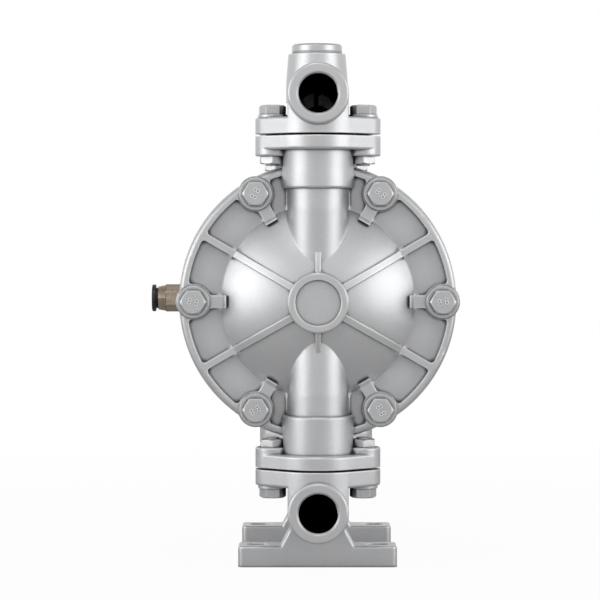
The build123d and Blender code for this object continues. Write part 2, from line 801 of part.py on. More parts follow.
# Discharge manifold, with a plugged neck on top
with BuildPart() as discharge_manifold:
    manifold_body(discharge_port_height, upper_face)
    turned(
        Plane.XZ,
        Axis.Z,
        [
            (0, discharge_port_height),
            (neck_base_r, discharge_port_height),
            (neck_base_r, discharge_port_height + pipe_bore_r),
            (neck_top_r, neck_top_height),
            (0, neck_top_height),
        ],
    )
    manifold_ways(discharge_port_height, upper_face, cage_r)
    round_bar(Plane.XY.offset(discharge_port_height), port_thread_r, neck_rise, Mode.SUBTRACT)
    for end in (-1, 1):
        mouth = Plane((0, end * passage_y, upper_face), z_dir=(0, 0, 1))
        with BuildSketch(mouth) as ribs:
            with PolarLocations((ball_r + ball_clearance + cage_r) / 2, 4, start_angle=45):
                Rectangle(cage_r - ball_r - ball_clearance + 1, cage_rib_width)
            Circle(ball_r + ball_clearance, mode=Mode.SUBTRACT)
        extrude(amount=discharge_port_height - upper_face - ball_r)
        stop_height = upper_face + cage_depth - sqrt(ball_r ** 2 - finger_r ** 2) + ball_r
        roof_height = discharge_port_height + pipe_bore_r + 1
        with BuildSketch(Plane((0, end * passage_y, stop_height), z_dir=(0, 0, 1))):
            Rectangle(cage_rib_width, 2 * cage_rib_width)
        extrude(amount=roof_height - stop_height)
save(discharge_manifold.part, "discharge_manifold")

# Suction manifold, with its feet
web_flare_height = foot_height + web_flare_rise
with BuildPart() as foot:
    with BuildSketch():
        RectangleRounded(foot_width, foot_depth, foot_round)
    extrude(amount=foot_height)
    fillet(foot.edges().group_by(Axis.Z)[-1], foot_edge_round)
with BuildPart() as web:
    with BuildSketch(Plane.XZ.offset(foot_depth / 2)):
        with BuildLine():
            Polyline(
                (-web_foot_half, foot_height - 2 * foot_edge_round),
                (-web_foot_half, foot_height),
                (-web_top_half, web_flare_height),
                (-web_top_half, suction_port_height),
                (web_top_half, suction_port_height),
                (web_top_half, web_flare_height),
                (web_foot_half, foot_height),
                (web_foot_half, foot_height - 2 * foot_edge_round),
                close=True,
            )
        make_face()
    extrude(amount=-foot_depth)
    web_sides = web.edges().filter_by(Axis.X, reverse=True).filter_by(Axis.Y, reverse=True)
    fillet(web_sides, foot_edge_round)
with BuildPart() as suction_manifold:
    manifold_body(suction_port_height, lower_face)
    for end in (-1, 1):
        add(foot.part.moved(Location((0, end * foot_y, 0))))
        add(web.part.moved(Location((0, end * foot_y, 0))))
        with BuildSketch(Plane.XY):
            with Locations((-slot_x, end * foot_y), (slot_x, end * foot_y)):
                SlotOverall(slot_length, slot_width)
        extrude(amount=foot_height, mode=Mode.SUBTRACT)
    manifold_ways(suction_port_height, lower_face, passage_r)
    for end in (-1, 1):
        mouth = Plane((0, end * passage_y, lower_face), z_dir=(0, 0, 1))
        round_bar(mouth, seat_r + fit_gap, -seat_depth, Mode.SUBTRACT)
save(suction_manifold.part, "suction_manifold")

# Gaskets in the manifold joints
gasket_plane = Plane((0, -passage_y, axis_height + cover_face_rise), z_dir=(0, 0, 1))
lower_gasket_plane = Plane((0, -passage_y, lower_face), z_dir=(0, 0, 1))
for name, plane in (("discharge_gaskets", gasket_plane), ("suction_gaskets", lower_gasket_plane)):
    with BuildPart() as gaskets:
        sleeve(plane, gasket_r, seat_r + fit_gap, joint_gap)
    save(gaskets.part + gaskets.part.mirror(Plane.XZ), name)

# Valve seats with their seal rings, and the balls
seat_height = seat_depth + joint_gap
groove_r = seat_r - 2 * seal_section_r - fit_gap
groove_low = seat_depth / 2 - seal_section_r - fit_gap
groove_high = seat_depth / 2 + seal_section_r + fit_gap
for name, base in (
    ("discharge", axis_height + cover_face_rise - seat_depth),
    ("suction", lower_face - seat_depth),
):
    seat_plane = Plane((0, -passage_y, base), x_dir=(1, 0, 0), z_dir=(0, -1, 0))
    seat_axis = Axis((0, -passage_y, 0), (0, 0, 1))
    with BuildPart() as seat:
        turned(
            seat_plane,
            seat_axis,
            [
                (seat_hole_r, 0),
                (seat_r, 0),
                (seat_r, groove_low),
                (groove_r, groove_low),
                (groove_r, groove_high),
                (seat_r, groove_high),
                (seat_r, seat_height),
                (seat_cone_r, seat_height),
                (seat_hole_r, seat_height - seat_cone_depth),
            ],
        )
    save(seat.part + seat.part.mirror(Plane.XZ), f"{name}_seats")
    with BuildPart() as seal:
        with BuildSketch(seat_plane) as section:
            with Locations((seat_r - seal_section_r, seat_depth / 2)):
                Circle(seal_section_r)
        revolve(axis=seat_axis)
    save(seal.part + seal.part.mirror(Plane.XZ), f"{name}_seat_seals")
    ball_height = base + seat_height + ball_rise
    with BuildPart(Plane((0, -passage_y, ball_height))) as ball:
        Sphere(ball_r)
    save_pair(ball.part, f"{name}_ball")

# Manifold bolts, washers and nuts, above and below
flange_back_rise = manifold_face_rise + manifold_flange_thickness
lug_back_rise = cover_face_rise - lug_thickness
manifold_bolt_length = flange_back_rise + washer_thickness - lug_back_rise + thin_nut_height + thread_end
for name, up in (("discharge", 1), ("suction", -1)):
    washer_plane = Plane((0, 0, axis_height + up * flange_back_rise), x_dir=(1, 0, 0), z_dir=(0, 0, up))
    nut_plane = Plane((0, 0, axis_height + up * lug_back_rise), x_dir=(1, 0, 0), z_dir=(0, 0, -up))
    with BuildPart(washer_plane.offset(washer_thickness)) as bolts:
        with GridLocations(2 * lug_x, 2 * passage_y, 2, 2):
            add(screw(hexagon(hex_flats, head_height), bolt_d, manifold_bolt_length).rotate(Axis.Z, 30))
    save(bolts.part, f"{name}_bolts")
    with BuildPart(washer_plane) as washers:
        with GridLocations(2 * lug_x, 2 * passage_y, 2, 2):
            add(flat_ring(joint_washer_d / 2, bolt_hole_d / 2, washer_thickness))
    save(washers.part, f"{name}_washers")
    with BuildPart(nut_plane) as nuts:
        with GridLocations(2 * lug_x, 2 * passage_y, 2, 2):
            add(nut(thin_nut_height))
    save(nuts.part, f"{name}_nuts")

# Plugs of the top neck and of the two rear ports, with their sealing rings
neck_mouth = Plane((0, 0, neck_top_height), z_dir=(0, 0, 1))
with BuildPart(neck_mouth.offset(plug_washer_thickness)) as top_plug:
    add(port_plug(port_thread_r))
save(top_plug.part, "top_plug")
rear_mouths = Plane((0, port_y, 0), x_dir=(1, 0, 0), z_dir=(0, 1, 0))
with BuildPart(rear_mouths.offset(plug_washer_thickness)) as rear_plugs:
    with Locations((0, -discharge_port_height), (0, -suction_port_height)):
        add(port_plug(rear_thread_r))
save(rear_plugs.part, "rear_plugs")
with BuildPart(neck_mouth) as top_ring:
    add(flat_ring(plug_head_r, port_thread_r + fit_gap, plug_washer_thickness))
with BuildPart(rear_mouths) as plug_rings:
    with Locations((0, -discharge_port_height), (0, -suction_port_height)):
        add(flat_ring(plug_head_r, rear_thread_r + fit_gap, plug_washer_thickness))
save(plug_rings.part + top_ring.part, "plug_rings")

# Air valve on the left of the centre block
gasket_face = side_plane.offset(-block_half - valve_gasket_thickness)
valve_face_x = -block_half - valve_gasket_thickness - valve_depth
with BuildPart() as valve_gasket:
    with BuildSketch(gasket_face):
        Rectangle(2 * valve_half_y, 2 * valve_half_z)
        with GridLocations(2 * valve_screw_y, 2 * valve_screw_z, 2, 2):
            Circle(valve_screw_d / 2 + fit_gap, mode=Mode.SUBTRACT)
        with Locations((0, -air_way_pitch), (0, 0), (0, air_way_pitch)):
            Circle(air_way_r, mode=Mode.SUBTRACT)
    extrude(amount=valve_gasket_thickness)
save(valve_gasket.part, "valve_gasket")

spool_top = Plane((spool_x, 0, axis_height + valve_half_z), z_dir=(0, 0, 1))
spool_bottom = Plane((spool_x, 0, axis_height - valve_half_z), z_dir=(0, 0, 1))
outer_face = Plane((valve_face_x, 0, axis_height), x_dir=(0, -1, 0), z_dir=(-1, 0, 0))
with BuildPart() as valve_body:
    with BuildSketch(outer_face):
        RectangleRounded(2 * valve_half_y, 2 * valve_half_z, valve_round)
    extrude(amount=-valve_depth)
    chamfer(valve_body.edges().group_by(Axis.X)[0], 1.0)
    round_bar(outer_face, inlet_boss_r, inlet_boss_length)
    fillet(valve_body.edges().group_by(Axis.X)[0], 0.8)
    round_bar(spool_bottom, sleeve_r, 2 * valve_half_z, Mode.SUBTRACT)
    round_bar(outer_face.offset(inlet_boss_length), fitting_thread_r, -fitting_thread_length, Mode.SUBTRACT)
    inlet_depth = abs(valve_face_x) + inlet_boss_length - abs(spool_x) - sleeve_r + 1
    round_bar(outer_face.offset(inlet_boss_length), tube_stop_r, -inlet_depth, Mode.SUBTRACT)
    with BuildSketch(gasket_face):
        with Locations((0, -air_way_pitch), (0, 0), (0, air_way_pitch)):
            Circle(air_way_r)
    extrude(amount=gasket_face.origin.X - spool_x, dir=(-1, 0, 0), mode=Mode.SUBTRACT)
    with BuildSketch(outer_face):
        with GridLocations(2 * valve_screw_y, 2 * valve_screw_z, 2, 2):
            Circle(valve_screw_d / 2 + fit_gap)
    extrude(amount=-valve_depth, mode=Mode.SUBTRACT)
    with BuildSketch(outer_face):
        with GridLocations(2 * valve_screw_y, 2 * valve_screw_z, 2, 2):
            Circle(valve_screw_head_d / 2 + fit_gap)
    extrude(amount=-valve_screw_head_height, mode=Mode.SUBTRACT)
    for end in (-1, 1):
        cap_seat = Plane((spool_x, 0, axis_height + end * valve_half_z), x_dir=(1, 0, 0), z_dir=(0, 0, end))
        with BuildSketch(cap_seat):
            with Locations((0, -cap_screw_y), (0, cap_screw_y)):
                Circle(cap_screw_d / 2)
        extrude(amount=-cap_screw_length, mode=Mode.SUBTRACT)
save(valve_body.part, "valve_body")

with BuildPart(outer_face.offset(-valve_screw_head_height)) as valve_screws:
    head = socket_head(valve_screw_head_d, valve_screw_head_height, valve_screw_d * 0.8)
    with GridLocations(2 * valve_screw_y, 2 * valve_screw_z, 2, 2):
        add(screw(head, valve_screw_d, valve_screw_length - 2))
save(valve_screws.part, "valve_screws")

with BuildPart() as valve_sleeve:
    sleeve(spool_bottom, sleeve_r, spool_r + running_gap, 2 * valve_half_z)
    for row in (-air_way_pitch, 0, air_way_pitch):
        row_plane = Plane((spool_x, 0, axis_height + row), x_dir=(1, 0, 0), z_dir=(0, 0, 1))
        for turn in range(6):
            bore = Plane(row_plane.origin, z_dir=(cos(radians(60 * turn)), sin(radians(60 * turn)), 0))
            round_bar(bore, air_way_r * 0.7, sleeve_r + 1, Mode.SUBTRACT)
save(valve_sleeve.part, "valve_sleeve")

# Spool with two waists between its lands, and a seal in each land
spool_low = axis_height - (spool_length + spool_travel) / 2
land_edges = [0, spool_length / 2 - air_way_pitch * 0.8, spool_length / 2 - air_way_pitch * 0.2]
land_edges += [spool_length / 2 + air_way_pitch * 0.2, spool_length / 2 + air_way_pitch * 0.8, spool_length]
seal_places = [2.5, spool_length / 2, spool_length - 2.5]
spool_axis = Axis((spool_x, 0, 0), (0, 0, 1))
spool_plane = Plane((spool_x, 0, spool_low), x_dir=(1, 0, 0), z_dir=(0, -1, 0))
with BuildPart() as valve_spool:
    outline = [(0, 0)]
    for low, high, radius in zip(
        land_edges[:-1], land_edges[1:], (spool_r, spool_waist_r, spool_r, spool_waist_r, spool_r)
    ):
        outline += [(radius, low), (radius, high)]
    outline.append((0, spool_length))
    turned(spool_plane, spool_axis, outline)
    for place in seal_places:
        depth = 2 * spool_seal_r + fit_gap
        low = place - spool_seal_r - fit_gap
        high = place + spool_seal_r + fit_gap
        groove = [(spool_r - depth, low), (spool_r + 1, low), (spool_r + 1, high), (spool_r - depth, high)]
        turned(spool_plane, spool_axis, groove, Mode.SUBTRACT)
save(valve_spool.part, "valve_spool")

with BuildPart() as spool_seals:
    for place in seal_places:
        with BuildSketch(spool_plane) as section:
            with Locations((spool_r - spool_seal_r + fit_gap / 10, place)):
                Circle(spool_seal_r)
        revolve(axis=spool_axis)
save(spool_seals.part, "spool_seals")

# End caps of the air valve, with their screws
with BuildPart() as end_cap:
    with BuildSketch(spool_top):
        RectangleRounded(2 * cap_half_x, 2 * cap_half_y, 3)
        with Locations((0, -cap_screw_y), (0, cap_screw_y)):
            Circle(cap_screw_d / 2 + fit_gap, mode=Mode.SUBTRACT)
    extrude(amount=cap_thickness)
middle = Plane((0, 0, axis_height), x_dir=(1, 0, 0), z_dir=(0, 0, 1))
save(end_cap.part + end_cap.part.mirror(middle), "valve_end_caps")
with BuildPart(spool_top.offset(cap_thickness)) as cap_screws:
    head = socket_head(cap_screw_head_d, cap_screw_head_height, cap_screw_d * 0.6)
    with Locations((0, -cap_screw_y), (0, cap_screw_y)):
        add(screw(head, cap_screw_d, cap_screw_length + cap_thickness - 1))
save(cap_screws.part + cap_screws.part.mirror(middle), "end_cap_screws")

# Push-in fitting: distances run outwards, to -X, from the inlet boss
fitting_plane = outer_face.offset(inlet_boss_length)
collar_end = fitting_hex_length + fitting_collar_length
collet_end = collar_end - release_sleeve_depth - release_travel - free_gap
collet_start = collet_end - collet_length
with BuildPart() as fitting_body:
    with BuildSketch(fitting_plane):
        RegularPolygon(fitting_hex_flats / 2, 6, major_radius=False, rotation=30)
    extrude(amount=fitting_hex_length)
    chamfer(fitting_body.edges().group_by(Axis.X)[-1], 0.5)
    round_bar(fitting_plane, fitting_thread_r, -fitting_thread_length)
    with BuildSketch(fitting_plane.offset(fitting_hex_length)):
        Circle(fitting_collar_r)
    with BuildSketch(fitting_plane.offset(collar_end)):
        Circle(fitting_mouth_r)
    loft()
    round_bar(fitting_plane.offset(collet_start), collet_r, collar_end - collet_start, Mode.SUBTRACT)
    mouth_depth = release_sleeve_depth + release_travel + free_gap
    round_bar(fitting_plane.offset(collar_end), release_sleeve_r + free_gap / 3, -mouth_depth, Mode.SUBTRACT)
    round_bar(fitting_plane.offset(-fitting_thread_length), tube_stop_r, collar_end, Mode.SUBTRACT)
save(fitting_body.part, "fitting_body")

with BuildPart() as fitting_collet:
    tube_hole_r = tube_r + tube_clearance
    seal_length = 2.4
    sleeve(
        fitting_plane.offset(collet_start + seal_length),
        collet_r,
        tube_hole_r,
        collet_length - seal_length,
    )
save(fitting_collet.part, "fitting_collet")

with BuildPart() as tube_seal:
    sleeve(fitting_plane.offset(collet_start), collet_r, tube_hole_r, seal_length)
save(tube_seal.part, "tube_seal")

with BuildPart() as release_ring:
    head_start = collar_end + release_travel + free_gap
    sleeve(fitting_plane.offset(head_start), release_r, release_hole_r, release_head_length)
    fillet(release_ring.edges().group_by(Axis.X)[0].sort_by(SortBy.RADIUS)[-1], 0.7)
    sleeve(
        fitting_plane.offset(collar_end - release_sleeve_depth),
        release_sleeve_r,
        release_hole_r,
        release_sleeve_depth + release_travel + free_gap,
    )
save(release_ring.part, "release_ring")

# Exhaust muffler on the right of the centre block: threaded base and porous element
with BuildPart() as muffler_base:
    with BuildSketch(exhaust_face):
        RegularPolygon(muffler_hex_flats / 2, 6, major_radius=False)
    extrude(amount=muffler_hex_length)
    round_bar(exhaust_face, muffler_thread_r, -muffler_thread_length)
    base_length = muffler_thread_length + muffler_hex_length
    round_bar(exhaust_face.offset(-muffler_thread_length), muffler_bore_r, base_length, Mode.SUBTRACT)
save(muffler_base.part, "muffler_base")

with BuildPart() as muffler_element:
    round_bar(exhaust_face.offset(muffler_hex_length), muffler_r, muffler_length)
    fillet(muffler_element.edges().group_by(Axis.X)[-1], muffler_r * 0.6)
    round_bar(exhaust_face.offset(muffler_hex_length), muffler_bore_r, muffler_bore_length, Mode.SUBTRACT)
save(muffler_element.part, "muffler_element")
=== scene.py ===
import json
import math

import bpy
from mathutils import Matrix, Vector


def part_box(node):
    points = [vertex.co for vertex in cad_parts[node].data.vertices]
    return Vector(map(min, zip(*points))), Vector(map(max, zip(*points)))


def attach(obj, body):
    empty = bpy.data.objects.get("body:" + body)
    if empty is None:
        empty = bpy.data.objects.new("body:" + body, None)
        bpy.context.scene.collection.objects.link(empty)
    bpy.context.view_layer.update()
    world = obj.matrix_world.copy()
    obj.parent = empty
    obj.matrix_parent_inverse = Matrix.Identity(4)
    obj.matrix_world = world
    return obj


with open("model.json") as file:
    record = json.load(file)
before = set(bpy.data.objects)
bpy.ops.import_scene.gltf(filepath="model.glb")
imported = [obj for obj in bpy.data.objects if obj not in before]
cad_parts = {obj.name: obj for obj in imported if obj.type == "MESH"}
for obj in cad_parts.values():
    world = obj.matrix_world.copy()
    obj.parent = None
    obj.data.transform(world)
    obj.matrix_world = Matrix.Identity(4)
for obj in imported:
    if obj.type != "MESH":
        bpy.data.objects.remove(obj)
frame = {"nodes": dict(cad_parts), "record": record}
nodes = frame["nodes"]
mounts = {mount["name"]: Vector(mount["pos_m"]) for mount in frame["record"]["mounts"]}
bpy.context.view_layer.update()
print("frame loaded:", len(nodes), "nodes")


# Camera, lamps, floor and sky

camera = {
    "place": (-0.0086, -1.295, 0.1646),
    "lens": 153.2,
    "tiltDown": 1.57,
}
lamps = {
    "leftStrip": {"place": (-1.0, -0.60, 0.22), "size": (0.8, 1.1), "power": 4.5},
    "rightStrip": {"place": (1.0, -0.60, 0.22), "size": (0.8, 1.1), "power": 4.2},
    "topPanel": {"place": (-0.1, -0.75, 1.25), "size": (0.35, 0.2), "power": 1.7},
}
studio = {
    "aim": (0.0, -0.02, 0.13),
    "floorSize": 9.0,
    "floorColor": (0.80, 0.80, 0.80, 1),
    "whiteShare": 0.96,         # how much of the floor's white is its own, the rest takes the shadow
    "shadowReach": (0.25, 0.7),
    "frontGlow": 0.88,          # the room behind the camera
    "sideGlow": -0.12,          # added towards the sides
    "backGlow": 0.10,           # added towards the white wall behind the object
    "ceilingShade": 0.48,       # taken away towards the ceiling and the floor
    "floorInGloss": 0.05,       # how white the floor is when the metal mirrors it
    "floorToneInGloss": 0.40,
    "brightest": 1.2,           # no part of the room is brighter
}


class Wire:  # one socket of a tree, so that maths on it reads as maths
    def __init__(self, tree, socket):
        self.tree, self.socket = tree, socket

    def __add__(self, other):
        return self.tree.maths("ADD", self, other)

    def __sub__(self, other):
        return self.tree.maths("SUBTRACT", self, other)

    def __rsub__(self, other):
        return self.tree.maths("SUBTRACT", other, self)

    def __mul__(self, other):
        return self.tree.maths("MULTIPLY", self, other)

    __radd__ = __add__
    __rmul__ = __mul__

    def most(self, other):
        return self.tree.maths("MAXIMUM", self, other)

    def least(self, other):
        return self.tree.maths("MINIMUM", self, other)

    def size(self):
        return self.tree.maths("ABSOLUTE", self, 0.0)

    def root(self):
        return self.tree.maths("SQRT", self, 0.0)

    def below(self, other):
        return self.tree.maths("LESS_THAN", self, other)


class ShaderTree:
    def __init__(self, owner):
        owner.use_nodes = True
        self.nodes, self.links = owner.node_tree.nodes, owner.node_tree.links
        self.nodes.clear()

    def make(self, kind, settings=None, output=0, inputs=None):
        node = self.nodes.new("ShaderNode" + kind)
        for name, value in (settings or {}).items():
            setattr(node, name, value)
        for name, value in (inputs or {}).items():
            if isinstance(value, Wire):
                self.links.new(value.socket, node.inputs[name])
            else:
                node.inputs[name].default_value = value
        return Wire(self, node.outputs[output]) if len(node.outputs) else None

    def maths(self, operation, first, second):
        return self.make("Math", {"operation": operation}, inputs={0: first, 1: second})

    def mixColors(self, factor, first, second, blend="MIX"):
        settings = {"data_type": "RGBA", "blend_type": blend}
        return self.make("Mix", settings, output=2, inputs={0: factor, 6: first, 7: second})

    def split(self, vector):
        node = self.make("SeparateXYZ", inputs={"Vector": vector}).socket.node
        return [Wire(self, socket) for socket in node.outputs]

    def noise(self, place, scale, detail=2.0, roughness=0.5):
        return self.make("TexNoise", inputs={
            "Vector": place, "Scale": scale, "Detail": detail, "Roughness": roughness})

    def fade(self, value, start, end, low, high):
        return self.make("MapRange", inputs={
            "Value": value, "From Min": start, "From Max": end, "To Min": low, "To Max": high})


def lookAt(item, target):
    aim = Vector(target) - item.location
    item.rotation_euler = aim.to_track_quat("-Z", "Y").to_euler()


def makeCamera():
    lens = bpy.data.cameras.new("camera")
    lens.lens, lens.sensor_width = camera["lens"], 36.0
    lens.clip_start, lens.clip_end = 0.05, 50.0
    item = bpy.data.objects.new("camera", lens)
    item.location = camera["place"]
    item.rotation_euler = (math.radians(90 - camera["tiltDown"]), 0, 0)
    bpy.context.collection.objects.link(item)
    bpy.context.scene.camera = item
    bpy.context.scene.view_settings.view_transform = "Standard"


def makeLamps():
    for name, lamp in lamps.items():
        light = bpy.data.lights.new(name, "AREA")
        light.shape = "RECTANGLE"
        light.size, light.size_y = lamp["size"]
        light.energy = lamp["power"]
        item = bpy.data.objects.new(name, light)
        item.location = lamp["place"]
        lookAt(item, studio["aim"])
        bpy.context.collection.objects.link(item)


def rayKinds(tree):  # 1 for rays from the camera, off gloss and through glass
    outputs = tree.make("LightPath").socket.node.outputs
    return [Wire(tree, outputs[f"Is {kind} Ray"]) for kind in ("Camera", "Glossy", "Transmission")]


def makeSky():
    world = bpy.data.worlds.new("studio")
    bpy.context.scene.world = world
    tree = ShaderTree(world)
    eye, glossy, through = rayKinds(tree)
    across, depth, height = tree.split(tree.make("TexCoord", output=0))
    level = studio["frontGlow"] + across.size() * studio["sideGlow"] + depth.most(0.0) * studio["backGlow"]
    level = (level - height.size() * studio["ceilingShade"]).least(studio["brightest"])
    glow = tree.make("CombineColor", inputs={0: level, 1: level, 2: level})
    shade = tree.mixColors(eye.most(through), glow, (1, 1, 1, 1))
    sky = tree.make("Background", inputs={"Color": shade, "Strength": 1.0})
    tree.make("OutputWorld", inputs={"Surface": sky})


def makeFloor():
    mesh = bpy.data.meshes.new("floor")
    half = studio["floorSize"] / 2
    corners = [(-half, -half, 0), (half, -half, 0), (half, half, 0), (-half, half, 0)]
    mesh.from_pydata(corners, [], [(0, 1, 2, 3)])
    floor = bpy.data.objects.new("floor", mesh)
    bpy.context.collection.objects.link(floor)
    material = bpy.data.materials.new("paleFloor")
    tree = ShaderTree(material)
    eye, glossy, through = rayKinds(tree)
    tone = tree.mixColors(glossy, studio["floorColor"], (studio["floorToneInGloss"],) * 3 + (1,))
    cloth = tree.make("BsdfDiffuse", inputs={"Color": tone})
    white = tree.make("Emission", inputs={"Color": (1, 1, 1, 1), "Strength": 1.0})
    across, depth, height = tree.split(tree.make("TexCoord", output=3))
    away = (across * across + depth * depth).root()
    own = tree.fade(away, *studio["shadowReach"], studio["whiteShare"], 1.0)
    share = (eye.most(through) * own).most(glossy * studio["floorInGloss"])
    both = tree.make("MixShader", inputs={0: share, 1: cloth, 2: white})
    tree.make("OutputMaterial", inputs={"Surface": both})
    mesh.materials.append(material)


makeCamera()
makeLamps()
makeSky()
makeFloor()
print("studio ready")


# Finishes

# crevice and hollow set how dark the painted shade is in sharp corners and in pockets (1 is none)
finishes = {
    "paintedCasting": {  # silver paint over a blasted aluminium casting
        "color": (0.71, 0.715, 0.725), "crevice": 0.16, "hollow": 0.84, "metallic": 0.85, "roughness": 0.40,
        "edge": 0.0008, "grain": 0.00005, "grainScale": 2400, "waves": 0.00010, "waveScale": 110},
    "airCasting": {  # the same paint on the air side
        "color": (0.61, 0.615, 0.625), "crevice": 0.25, "hollow": 0.80, "metallic": 0.80, "roughness": 0.50,
        "edge": 0.0006, "grain": 0.00006, "grainScale": 2200, "waves": 0.00008, "waveScale": 80},
    "paintedSteel": {  # fasteners painted together with the casting
        "color": (0.68, 0.685, 0.695), "crevice": 0.16, "hollow": 0.80, "metallic": 0.85, "roughness": 0.38,
        "edge": 0.0006, "grain": 0.00004, "grainScale": 2800, "waves": 0.00006, "waveScale": 260},
    "machinedPlug": {
        "color": (0.69, 0.695, 0.70), "crevice": 0.3, "hollow": 0.85, "metallic": 0.88, "roughness": 0.38,
        "edge": 0.0005, "grain": 0.00002, "grainScale": 3000, "waves": 0.00003, "waveScale": 160},
    "paintedRing": {
        "color": (0.50, 0.505, 0.51), "crevice": 0.3, "hollow": 0.85, "metallic": 0.7, "roughness": 0.5,
        "edge": 0.0003, "grain": 0.00003, "grainScale": 2800, "waves": 0.00003, "waveScale": 260},
    "stainless": {
        "color": (0.58, 0.57, 0.55), "crevice": 0.5, "hollow": 0.9, "metallic": 1.0, "roughness": 0.2,
        "edge": 0.0003, "grain": 0.00001, "grainScale": 3500, "waves": 0.00001, "waveScale": 200},
    "brightSteel": {
        "color": (0.55, 0.55, 0.56), "crevice": 0.4, "hollow": 0.9, "metallic": 1.0, "roughness": 0.26,
        "edge": 0.0003, "grain": 0.00001, "grainScale": 3000, "waves": 0.00001, "waveScale": 200},
    "nickelBrass": {
        "color": (0.50, 0.41, 0.32), "crevice": 0.15, "hollow": 0.7, "metallic": 1.0, "roughness": 0.12,
        "edge": 0.0004, "grain": 0.00001, "grainScale": 3000, "waves": 0.00002, "waveScale": 300},
    "blackRubber": {
        "color": (0.028, 0.028, 0.03), "crevice": 0.5, "hollow": 0.9, "metallic": 0.0, "roughness": 0.62,
        "edge": 0.0003, "grain": 0.00004, "grainScale": 2200, "waves": 0.00003, "waveScale": 200},
    "blackPlastic": {
        "color": (0.02, 0.021, 0.023), "crevice": 0.5, "hollow": 0.9, "metallic": 0.0, "roughness": 0.36,
        "edge": 0.0004, "grain": 0.00002, "grainScale": 2500, "waves": 0.00002, "waveScale": 200},
    # a lighter copy of the bolt paint: painted highlight on the raised figures
    "litFigurePaint": {
        "color": (0.97, 0.97, 0.975), "crevice": 0.9, "hollow": 1.0, "metallic": 0.85, "roughness": 0.36,
        "edge": 0.0001, "grain": 0.00001, "grainScale": 2800, "waves": 0.00001, "waveScale": 260},
    "bushPlastic": {
        "color": (0.33, 0.30, 0.24), "crevice": 0.5, "hollow": 0.9, "metallic": 0.0, "roughness": 0.45,
        "edge": 0.0003, "grain": 0.00002, "grainScale": 2500, "waves": 0.00002, "waveScale": 200},
    "sinteredBronze": {
        "color": (0.46, 0.30, 0.14), "crevice": 0.25, "hollow": 0.8, "metallic": 0.9, "roughness": 0.55,
        "edge": 0.0004, "grain": 0.0003, "grainScale": 1300, "waves": 0.0001, "waveScale": 300},
}
cornerShadeReach = 0.0028       # how far from a corner its thin line of painted shade shows
hollowShadeReach = 0.009         # how far the soft painted shade of a pocket shows
edgeHighlightReach = 0.0010          # how far in from an edge the painted highlight reaches
# strength of the painted highlight along edges, by finish
edgeHighlightGain = {"paintedCasting": 0.42, "airCasting": 0.42, "litFigurePaint": 0.42}
smallPartHighlightGain = 0.18        # small parts get a weaker painted highlight
speckleScale = 1000
patchScale = 28.0
toneMix = {"base": 0.84, "patches": 0.12, "speckle": 0.14, "grain": 0.06}
roughMix = {"base": -0.05, "waves": 0.06, "grain": 0.05}
cornerShadeOpen = (0.46, 0.72)   # how open a place is where its line of painted shade begins and ends
hollowShadeOpen = (0.25, 0.9)
edgeHighlightOpen = (0.5, 0.95)
domeEdgeHighlight = {  # the dome's outer edge gets a line of painted highlight instead of the line of painted shade; inside it the painted shade of its corners is lighter
    "radius": 0.0465, "width": 0.0018, "fade": 0.0010, "crevice": 1.12, "inside": 0.3}
boreShade = {
    "radius": 0.0103, "mouth": 0.0940, "dark": 0.001,
    "legPlace": 0.070, "legRadius": 0.0124, "legLength": 0.0196}
wears = {  # node names by finish
    "paintedCasting": ["liquid_cover_front", "liquid_cover_rear", "discharge_manifold", "suction_manifold"],
    "airCasting": ["air_chamber_front", "air_chamber_rear", "center_block", "valve_body"],
    "paintedSteel": [
        "cover_bolts_front", "cover_bolts_rear", "cover_nuts_front", "cover_nuts_rear", "cover_washers_front",
        "cover_washers_rear", "discharge_bolts", "discharge_nuts", "discharge_washers", "suction_bolts",
        "suction_nuts", "suction_washers"],
    "machinedPlug": ["top_plug", "rear_plugs", "muffler_base"],
    "stainless": ["plate_bolts"],
    "brightSteel": [
        "diaphragm_rod", "pilot_rod", "valve_spool", "valve_sleeve", "chamber_screws", "valve_screws",
        "end_cap_screws", "fitting_collet", "inner_plate_front", "inner_plate_rear", "outer_plate_front",
        "outer_plate_rear"],
    "nickelBrass": ["fitting_body"],
    "paintedRing": ["plug_rings"],
    "blackRubber": [
        "diaphragm_front", "diaphragm_rear", "discharge_gaskets", "suction_gaskets", "suction_seat_seals",
        "discharge_seat_seals", "rod_seals", "spool_seals", "tube_seal", "valve_gasket", "suction_ball_front",
        "suction_ball_rear", "discharge_ball_front", "discharge_ball_rear"],
    "blackPlastic": ["release_ring", "valve_end_caps", "suction_seats", "discharge_seats"],
    "bushPlastic": ["rod_bushes", "pilot_bushes"],
    "sinteredBronze": ["muffler_element"],
}


def boreMask(tree, place):  # where the bores get painted shade: 1 inside the pipes and legs, behind the mouths of the ports
    across, depth, height = tree.split(place)
    sideways = depth.size() - boreShade["legPlace"]
    inLeg = (across * across + sideways * sideways).root().below(boreShade["legRadius"])
    found = None
    for port in ("discharge_port", "suction_port"):
        rise = height - mounts[port].z
        inPipe = (across * across + rise * rise).root().below(boreShade["radius"])
        towardsMiddle = rise * (1 if port == "suction_port" else -1)
        besidePipe = towardsMiddle.below(boreShade["legLength"]) * (0 - towardsMiddle).below(0.0)
        inside = (inPipe * depth.size().below(boreShade["mouth"])).most(inLeg * besidePipe)
        found = inside if found is None else found.most(inside)
    return found


